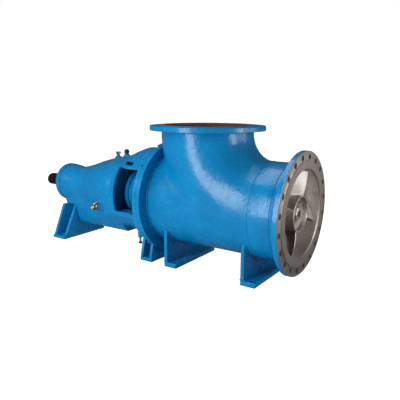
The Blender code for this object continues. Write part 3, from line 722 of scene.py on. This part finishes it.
def joinShapes(target, others):
    shapes = bmesh.new()
    for obj in [target] + others:
        shapes.from_mesh(obj.data)
    shapes.to_mesh(target.data)
    shapes.free()
    for obj in others:
        bpy.data.objects.remove(obj, do_unlink=True)


# Melts joined shapes into one skin and rounds its corners, as a casting's are.
def softenShape(obj, voxel, iterations):
    remesh = obj.modifiers.new("remesh", "REMESH")
    remesh.mode = "VOXEL"
    remesh.voxel_size = voxel
    relax = obj.modifiers.new("relax", "SMOOTH")
    relax.factor = 0.5
    relax.iterations = iterations
    return bake(obj, 0)


# Blended as one casting, then machined: front and rear faces, cup, bore and sump end.
def makeHousing():
    rear, front, bore, lowerArm = (bracket[k] for k in ("rear", "front", "bore", "lowerArm"))
    body = turn("bearing_bracket", [(front + 0.040, 0.0), (front + 0.040, 0.300)] + housingLine
                + [(rear - 0.040, 0.142), (rear - 0.040, 0.0)], closed=False)
    sumpRear, sumpFront = ((0.050, 0.112), (0.105, 0.345)), ((0.108, 0.133), (0.124, 0.16), (0.243, 0.304))
    sump = hullOf("sump", [(-0.7219, s * y, z) for s in (-1, 1) for y, z in sumpRear]
                  + [(-0.1305, s * y, z) for s in (-1, 1) for y, z in sumpFront])
    saddle = hullOf("saddle", [(x, s * y, z) for x in (rear - 0.040, -0.692) for s in (-1, 1)
                               for y, z in ((0.078, 0.2475), (0.105, 0.345))])
    joinShapes(body, [sump, saddle])
    softenShape(body, bracket["castingVoxel"], bracket["blend"])
    skirt = turn("skirt", [(-0.06, 0.4), (-0.1590, 0.4), (-0.1590, lowerArm), (-0.06, lowerArm)])
    below = block("belowWindow", (-0.5, -0.6, -0.2), (0.2, 0.6, bracket["window"][0]))
    combine(skirt, [below], "INTERSECT")
    cup = turn("cupCut", [(0.05, 0.0), (0.05, 0.6), (front, 0.6), (front, 0.250), (-0.2005, 0.225),
                          (-0.2005, 0.0)], closed=False)
    hole = turn("boreCut", [(-0.95, 0), (-0.95, bore), (-0.15, bore), (-0.15, 0)], closed=False)
    back = block("rearCut", (-1.2, -0.5, 0.0), (rear, 0.5, 0.8))
    return combine(body, [cup, hole, back, skirt], angle=30)


def makeBracket():
    low, high = bracket["window"]
    body = makeHousing()
    parts = [turn(name, outline, 32, place, axis, False) for name, (place, axis, outline) in bosses.items()]
    (rearX, innerY, lowZ), (frontX, outerY, highZ) = bracket["sill"]
    parts += [block("sill", (rearX, -outerY, lowZ), (frontX, -innerY, highZ)),
              block("sill", (rearX, innerY, lowZ), (frontX, outerY, highZ)),
              lanternArm("armTop", lanternTopLine, high, 1.2),
              lanternArm("armBottom", lanternBottomLine, -0.2, low)]
    joinShapes(body, parts)
    softenShape(body, bracket["voxel"], 4)
    slots = [block("slotCut", (-0.073, y - 0.19, 0.625), (0.014, y + 0.19, 0.646), 0.009, 1)
             for y in (-0.31, 0.31)]
    combine(body, [nutSeats(nutSeat["rear"])] + slots, angle=40)
    wornX, wornY = bracket["wornSpot"]

    def worn(c, n):
        near = math.hypot(c.x - wornX, c.y - wornY) < bracket["wornReach"]
        return int(near and n.z > 0.6 and abs(c.z - low) < 0.01)

    finish(body, [enamel, rubbedPrimer], "pump",
           ["bearing_housing", "lantern_top", "lantern_bottom"], worn)


makeBracket()
print("bearing bracket built")


# End cover of the bearing housing and the shaft end

endCover = {"rear": -0.8665, "front": -0.8265, "radius": 0.143}
shaftSizes = {"end": -1.0905, "sleeve": 0.055, "thin": 0.043, "keyHalf": 0.0105, "keyLength": 0.149}


def makeEndCover():
    rear, front, radius = endCover["rear"], endCover["front"], endCover["radius"]
    painted(turn("bearing_cover", [
        (front, radius), (rear + 0.004, radius), (rear + 0.001, radius - 0.001), (rear, radius - 0.005),
        (rear, 0.118), (rear, 0.092), (rear - 0.004, 0.087), (rear - 0.026, 0.083), (rear - 0.030, 0.079),
        (rear - 0.030, 0.0435), (front, 0.0435)]), "bearing_end_cover")


def makeShaft():
    end, sleeve, thin, half, length = shaftSizes.values()
    top = shaftZ + thin
    shaft = turn("drive_shaft", [
        (end, 0.0), (end + 0.006, 0.004), (end, 0.012), (end, thin - 0.003), (end + 0.003, thin),
        (-0.1605, thin), (-0.1605, sleeve), (0.8942, sleeve), (0.8942, 0.0)], closed=False)
    rear, slip = end + 0.0125, 0.0005
    combine(shaft, [block("keywayCut", (rear - slip, -half - slip, top - 0.009),
                          (rear + length + slip, half + slip, shaftZ + 0.08), 0.009, 2)])
    finish(shaft, [shaftSteel], "rotor", ["shaft"])
    key = bake(block("key_block", (rear, -half, top - 0.0085), (rear + length, half, top + 0.005), 0.009, 2))
    finish(key, [shaftSteel], "rotor", ["shaft_key"])


makeEndCover()
makeShaft()
print("end cover and shaft built")


# Impeller

impeller = {"rear": 0.8945, "front": 1.0735, "hub": 0.106, "recess": 0.097, "recessDepth": 0.030,
            "blades": 4, "startAngle": 10, "ahead": 0.016, "tip": 0.2475,
            "pitch": (48, 26), "halfChord": (0.085, 0.150), "thick": (0.018, 0.010)}   # at root and tip


# A twisted blade with a round leading edge, steep at the hub and flat at the tip.
def makeBlade(index):
    rows, count = 14, 52
    turnAngle = math.radians(impeller["startAngle"]) + index * 2 * math.pi / impeller["blades"]
    middle = (impeller["rear"] + impeller["front"]) / 2 + impeller["ahead"]
    hub, tip = impeller["hub"] - 0.004, impeller["tip"]
    bm = bmesh.new()
    grid = []
    for i in range(rows + 1):
        share = i / rows
        radius = hub + share * (tip - hub)
        pitch, chord, thick = (impeller[k][0] + share * (impeller[k][1] - impeller[k][0])
                               for k in ("pitch", "halfChord", "thick"))
        pitch = math.radians(pitch)
        ring = []
        for j in range(count):
            t = 2 * math.pi * j / count
            half = thick / 2 * abs(math.sin(t)) ** 0.6 * (1 if math.sin(t) >= 0 else -1)
            step = -math.cos(t) * chord
            x = middle - step * math.sin(pitch) + half * math.cos(pitch)
            angle = turnAngle + (step * math.cos(pitch) + half * math.sin(pitch)) / radius
            ring.append(bm.verts.new((x, radius * math.cos(angle), radius * math.sin(angle) + shaftZ)))
        grid.append(ring)
    for low, high in zip(grid, grid[1:]):
        for j in range(count):
            bm.faces.new((low[j], low[(j + 1) % count], high[(j + 1) % count], high[j]))
    bm.faces.new(grid[0])
    bm.faces.new(grid[-1])
    bmesh.ops.recalc_face_normals(bm, faces=bm.faces)
    blade = fromBmesh(bm, "vane_%d" % (index + 1), 50)
    finish(blade, [bladeSteel], "rotor", ["impeller_blade_%d" % (index + 1)])


def makeImpeller():
    low, high, hub, cup = impeller["rear"], impeller["front"], impeller["hub"], impeller["recess"]
    floor = high - impeller["recessDepth"]
    boss = turn("impeller_boss", [
        (floor, 0.0), (floor, cup - 0.010), (floor + 0.003, cup - 0.005), (high - 0.002, cup),
        (high, cup + 0.0015), (high, hub - 0.002), (high - 0.002, hub), (low + 0.012, hub),
        (low + 0.003, hub - 0.003), (low, hub - 0.012), (low, 0.0)], closed=False)
    combine(boss, [pinRing("tappedHoles", 2, 0.070, 0.012, floor - 0.020, floor + 0.010, first=0.3)])
    finish(boss, [hubSteel, bladeSteel], "rotor", ["impeller_hub"],
           lambda c, n: int(c.x > high - 0.003))
    for k in range(impeller["blades"]):
        makeBlade(k)
    nut = turn("hub_nut", [(floor + 0.0043, 0.0), (floor + 0.0043, 0.042), (floor + 0.016, 0.042),
                           (floor + 0.019, 0.037), (floor + 0.019, 0.0)], 6, closed=False, angle=20)
    washer = turn("nut_washer", [(floor + 0.0003, 0.020), (floor + 0.0003, 0.050), (floor + 0.0035, 0.050),
                                 (floor + 0.0042, 0.049), (floor + 0.0042, 0.020)], 48)
    stub = turn("nut_stud", [
        (floor + 0.010, 0.0), (floor + 0.010, 0.021), (floor + 0.0185, 0.021), (floor + 0.020, 0.0195),
        (floor + 0.020, 0.005), (floor + 0.016, 0.0)], 32, closed=False)
    finish(nut, [bladeSteel], "rotor", ["impeller_nut"])
    finish(washer, [zincSteel], "rotor")
    finish(stub, [shaftSteel], "rotor")


makeImpeller()
print("impeller built")


# Feet: the CAD solids with their edges eased

def easedCopy(node, width=0.0025):
    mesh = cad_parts[node].data.copy()
    bm = bmesh.new()
    bm.from_mesh(mesh)
    bmesh.ops.remove_doubles(bm, verts=bm.verts, dist=0.00002)
    bmesh.ops.dissolve_limit(bm, angle_limit=math.radians(2), verts=bm.verts, edges=bm.edges)
    bm.to_mesh(mesh)
    bm.free()
    obj = meshObject(node + "_plate", mesh)
    ease = obj.modifiers.new("ease", "BEVEL")
    ease.width = width
    ease.segments = 2
    ease.limit_method = "ANGLE"
    ease.angle_limit = math.radians(40)
    painted(bake(obj), node)


for foot, plates in (
        ("mid", ("base", "web")), ("inlet", ("base", "web")), ("bracket", ("base", "front", "rear")),
        ("rear", ("base", "front", "rear", "rib"))):
    for plate in plates:
        easedCopy("%s_foot_%s" % (foot, plate))
print("feet built")


# Fasteners, grown on a bolt circle

# A bolt of unit size, a washer, nut, crown and stud, is stretched to the sizes given.
def boltTree(material):
    tree, given = startTree("bolt ring", [
        ("Bolts", "Int"), ("Ring radius", "Float"), ("Nut size", "Vector"), ("Stud size", "Vector"),
        ("First turn", "Vector"), ("Kept height", "Float"), ("Kept within", "Float"),
        ("Place", "Vector"), ("Turn", "Vector")])

    def drum(sides, radius, depth, base):
        part = addNode(tree, "GeometryNodeMeshCylinder", inputs={
            "Vertices": sides, "Radius": radius, "Depth": depth})
        return addNode(tree, "GeometryNodeTransform", inputs={
            "Geometry": part, "Translation": (0.0, 0.0, base + depth / 2)})

    nut = addNode(tree, "GeometryNodeJoinGeometry", inputs={
        "Geometry": [drum(24, 0.62, 0.14, 0.0), drum(6, 0.577, 0.82, 0.14), drum(24, 0.47, 0.1, 0.94)]})
    sizedNut = addNode(tree, "GeometryNodeTransform", inputs={"Geometry": nut, "Scale": given["Nut size"]})
    stud = addNode(tree, "GeometryNodeTransform", inputs={
        "Geometry": drum(16, 0.32, 1.0, 0.0), "Scale": given["Stud size"]})
    bolt = addNode(tree, "GeometryNodeJoinGeometry", inputs={"Geometry": [sizedNut, stud]})
    ring = addNode(tree, "GeometryNodeMeshCircle", inputs={
        "Vertices": given["Bolts"], "Radius": given["Ring radius"]})
    spun = addNode(tree, "GeometryNodeTransform", inputs={"Geometry": ring, "Rotation": given["First turn"]})
    spot = addNode(tree, "ShaderNodeSeparateXYZ", inputs={
        "Vector": addNode(tree, "GeometryNodeInputPosition")})
    height = addNode(tree, "ShaderNodeMath", {"operation": "ABSOLUTE"}, {0: spot.outputs["X"]})
    kept = addNode(tree, "FunctionNodeCompare", {"operation": "EQUAL"}, {
        0: height, 1: given["Kept height"], "Epsilon": given["Kept within"]})
    spread = addNode(tree, "GeometryNodeInstanceOnPoints", inputs={
        "Points": spun, "Instance": bolt, "Selection": kept})
    placed = addNode(tree, "GeometryNodeTransform", inputs={
        "Geometry": spread, "Translation": given["Place"], "Rotation": given["Turn"]})
    endTree(tree, placed, material)
    return tree


boltSets = {                 # only bolts whose height off the shaft's line is in the kept range are made
    "bracket_studs": {
        "count": 16, "ring": 0.334, "acrossFlats": 0.030, "nut": 0.020, "stud": 0.028, "first": 0.0,
        "kept": (0.2, 1.0), "x": 0.1428, "material": enamel},
    "cover_bolts": {
        "count": 6, "ring": 0.118, "acrossFlats": 0.019, "nut": 0.010, "stud": 0.006, "first": 0.52,
        "kept": (0.0, 1.0), "x": -0.8665, "material": enamel},
    "gland_nuts": {
        "count": 4, "ring": 0.130, "acrossFlats": 0.020, "nut": 0.036, "stud": 0.044, "first": 1.141,
        "kept": (0.0, 0.06), "x": -0.1325, "material": zincSteel}}
ringBolts = boltTree(zincSteel)
for setName, look in boltSets.items():
    flats, (least, most) = look["acrossFlats"], look["kept"]
    finish(growPiece(setName, ringBolts, {
        "Bolts": look["count"], "Ring radius": look["ring"], "Nut size": (flats, flats, look["nut"]),
        "Stud size": (flats, flats, look["stud"]), "First turn": (0.0, 0.0, look["first"]),
        "Kept height": (least + most) / 2, "Kept within": (most - least) / 2,
        "Place": (look["x"], 0.0, shaftZ), "Turn": (0.0, -math.pi / 2, 0.0)}), [look["material"]],
        "pump")
print("fasteners built")


# Weld beads along the seams, painted over

def beadTree():
    tree, given = startTree("weld bead", [
        ("Path", "Geometry"), ("Bead radius", "Float"), ("Ripple", "Float")])
    path = addNode(tree, "GeometryNodeResampleCurve", {"mode": "LENGTH"}, {
        "Curve": given["Path"], "Length": 0.006})
    spot = addNode(tree, "GeometryNodeInputPosition")
    noise = addNode(tree, "ShaderNodeTexNoise", inputs={"Vector": spot, "Scale": 90.0, "Detail": 1.0})
    centred = addNode(tree, "ShaderNodeVectorMath", {"operation": "SUBTRACT"}, {
        0: noise.outputs["Color"], 1: (0.5, 0.5, 0.5)})
    push = addNode(tree, "ShaderNodeVectorMath", {"operation": "SCALE"}, {
        0: centred, "Scale": given["Ripple"]})
    wavy = addNode(tree, "GeometryNodeSetPosition", inputs={
        "Geometry": path, "Offset": push})
    ring = addNode(tree, "GeometryNodeCurvePrimitiveCircle", inputs={
        "Resolution": 8, "Radius": given["Bead radius"]})
    bead = addNode(tree, "GeometryNodeCurveToMesh", inputs={
        "Curve": wavy, "Profile Curve": ring, "Fill Caps": True})
    endTree(tree, bead, enamel)
    return tree


weldBead = beadTree()


# Points on a circle about an axis, from one angle to another in degrees.
def arcPoints(x, radius, start, end, steps):
    angles = [math.radians(start + (end - start) * k / steps) for k in range(steps + 1)]
    return [(x, radius * math.cos(a), shaftZ + radius * math.sin(a)) for a in angles]


def layBead(name, points, radius, cyclic=False):
    path = polyCurve(name, points, cyclic=cyclic)
    painted(growPiece(name, weldBead, {"Bead radius": radius, "Ripple": 0.0012}, path, 60))


layBead("seam_weld_rear", arcPoints(0.8775, 0.2835, 0, 354, 60), 0.004, cyclic=True)
layBead("seam_weld_front", arcPoints(1.0065, 0.2835, 0, 354, 60), 0.004, cyclic=True)
layBead("neck_weld", [(outletX + 0.287 * math.cos(math.radians(a)), 0.287 * math.sin(math.radians(a)), 0.8565)
                      for a in range(0, 360, 6)], 0.0055, cyclic=True)
layBead("casing_flange_weld", arcPoints(0.1775, 0.287, 112, 428, 60), 0.0055)
for label, webX, thick in (("mid", 0.2655, 0.024), ("inlet", 0.8185, 0.024)):
    for side, x in (("rear", webX - 0.002), ("front", webX + thick + 0.002)):
        layBead("%s_web_weld_%s" % (label, side), arcPoints(x, 0.288, 217, 323, 40), 0.005)
        layBead("%s_base_weld_%s" % (label, side), [(x, y, 0.0325) for y in (-0.226, 0.0, 0.226)], 0.0045)
print("welds laid")


# Oil and drain fittings

def fitting(name, profile, origin, axis, material, node, steps=40):
    finish(turn(name, profile, steps, origin, axis, False, 40), [material], "pump", [node])


# A vent with a winged cap, made from a turned stem and two ears.
def makeBreather():
    x, z = -0.3285, 0.6473
    cap = turn("breather_cap", [
        (0.026, 0.0), (0.026, 0.006), (0.023, 0.0075), (0.010, 0.0075), (0.008, 0.012), (0.002, 0.013),
        (0.0, 0.013), (0.0, 0.0)], 32, (x, 0, z), (0, 0, 1), False)
    outline = [(-0.0035, 0.0), (-0.0035, 0.0095), (-0.002, 0.011), (0.002, 0.011), (0.0035, 0.0095),
               (0.0035, 0.0)]
    ears = [turn("ear", outline, 24, (x + side * 0.0115, 0, z + 0.0225), (0.35 * side, -1, 0), False)
            for side in (-1, 1)]
    joinShapes(cap, ears)
    finish(cap, [gunmetal], "pump", ["oil_breather"])


# Pressed glass in a brass nut.
def makeSightGlass():
    place = (-0.3655, -0.2103, 0.308)
    fitting("sight_glass", [
        (0.020, 0), (0.020, 0.012), (0.025, 0.013), (0.027, 0.016), (0.024, 0.019), (0.012, 0.022),
        (0.010, 0.027), (0, 0.027), (0, 0)], place, (0, -1, 0), brass, "oil_level_glass")
    lens = turn("sight_lens", [
        (0.0215, 0), (0.0212, 0.006), (0.0196, 0.0125), (0.0185, 0.0125), (0.0185, 0)], 40,
        place, (0, -1, 0), False)
    finish(lens, [sightGlass], "pump")


# A painted stub pipe that ends in a black knob.
def makeDrain():
    x, y, z = 0.0195, -0.175, 0.1357
    knob = turn("drain_valve", [
        (0.040, 0), (0.039, 0.010), (0.036, 0.012), (0.029, 0.012), (0.026, 0.008), (0.004, 0.0065),
        (0.0, 0.0065), (0, 0)], 32, (x, y, z), (0, 0, -1), False, angle=40)
    finish(knob, [blackOxide, enamel], "pump", ["drain_cock"],
           lambda c, n: int(c.z > z - 0.025))


def makeVentElbow():
    x, y, z = -0.3055, -0.234, 0.345
    bar = polyCurve("vent_elbow", [
        (x, y - 0.0003, z), (x, y - 0.012, z), (x - 0.001, y - 0.018, z - 0.0005),
        (x - 0.004, y - 0.0235, z - 0.0015), (x - 0.009, y - 0.027, z - 0.004),
        (x - 0.022, y - 0.030, z - 0.010)], 0.0108, 8)
    finish(bake(meshObject("vent_elbow", bar), 50), [zincSteel], "pump",
           ["level_vent_elbow"])


makeBreather()
fitting("filler_cap", [
    (0.034, 0), (0.033, 0.007), (0.030, 0.013), (0.024, 0.017), (0.020, 0.018), (0.007, 0.018),
    (0.005, 0.014), (0, 0.014), (0, 0)], (-0.2445, 0, 0.6673), (0, 0, 1), blackOxide,
    "oil_filler_plug")
makeSightGlass()
makeDrain()
makeVentElbow()
print("fittings built")


# Floor and light

studio = {"floor": "#F7F7F7", "floorGlow": 0.93, "ambient": 0.17, "mirrored": 0.07,
          "lights": {        # place, aim, width and height, watts, spread in degrees, seen in gloss
              "keyLight": ((-0.2, -3.6, 1.65), (-0.2, 0.0, 1.2), (1.2, 2.9), 72, 180, True),
              "fillLight": ((-3.6, -3.8, 2.2), (0.0, 0.0, 0.4), (3.0, 3.0), 60, 180, False),
              "stripLight": ((-2.9, -3.1, 2.0), (0.0, 0.0, 0.5), (0.22, 1.1), 3, 180, True),
              "inletLight": ((3.4, -2.2, 1.5), (1.05, 0.02, 0.41), (0.25, 0.25), 0.45, 14, True),
              "lowLight": ((0.0, -3.0, 0.5), (0.15, 0.0, 0.35), (1.2, 0.8), 17, 180, False),
              "sideLight": ((4.4, 0.35, 1.1), (0.5, 0.0, 0.7), (0.9, 2.0), 42, 180, True),
              "panelLight": ((4.6, 2.6, 1.0), (1.0, 0.0, 0.4), (2.6, 2.2), 34, 180, True),
              "topLight": ((-0.6, 0.2, 3.8), (0.1, 0.0, 0.0), (3.0, 1.6), 36, 180, True)}}


def makeStudio():
    bm = bmesh.new()
    bmesh.ops.create_grid(bm, x_segments=1, y_segments=1, size=30)
    floor = fromBmesh(bm, "studio_floor")
    floor.location.z = -0.0005
    mat, tree, shader, place = startMaterial(
        "floor paper, lit", Roughness=0.9, Base_Color=toLinear(studio["floor"]))
    shader.inputs["Emission Color"].default_value = (1, 1, 1, 1)
    seen = addNode(tree, "ShaderNodeLightPath").outputs["Is Camera Ray"]
    glow = addNode(tree, "ShaderNodeMath", {"operation": "MULTIPLY"}, {0: seen, 1: studio["floorGlow"]})
    setInputs(tree, shader, {"Emission Strength": glow})
    floor.data.materials.append(mat)
    floor.visible_glossy = False
    world = bpy.data.worlds.new("studio_world")
    world.use_nodes = True
    sky = world.node_tree
    sky.nodes.clear()
    rays = addNode(sky, "ShaderNodeLightPath").outputs
    glow, mirrored, paper = (
        addNode(sky, "ShaderNodeBackground", inputs={"Color": (1, 1, 1, 1), "Strength": strength})
        for strength in (studio["ambient"], studio["mirrored"], 1.0))
    inGloss = addNode(sky, "ShaderNodeMixShader", inputs={
        0: rays["Is Glossy Ray"], 1: glow, 2: mirrored})
    both = addNode(sky, "ShaderNodeMixShader", inputs={
        0: rays["Is Camera Ray"], 1: inGloss, 2: paper})
    addNode(sky, "ShaderNodeOutputWorld", inputs={"Surface": both})
    bpy.context.scene.world = world
    for name, (place, aim, (wide, tall), power, spread, gloss) in studio["lights"].items():
        data = bpy.data.lights.new(name, "AREA")
        data.shape = "RECTANGLE"
        data.size, data.size_y = wide, tall
        data.energy = power
        data.spread = math.radians(spread)
        lamp = bpy.data.objects.new(name, data)
        bpy.context.scene.collection.objects.link(lamp)
        lamp.location = place
        lamp.rotation_euler = (Vector(aim) - Vector(place)).to_track_quat("-Z", "Y").to_euler()
        lamp.visible_glossy = gloss


makeStudio()
bpy.context.scene.view_settings.view_transform = "Standard"
print("studio lit")
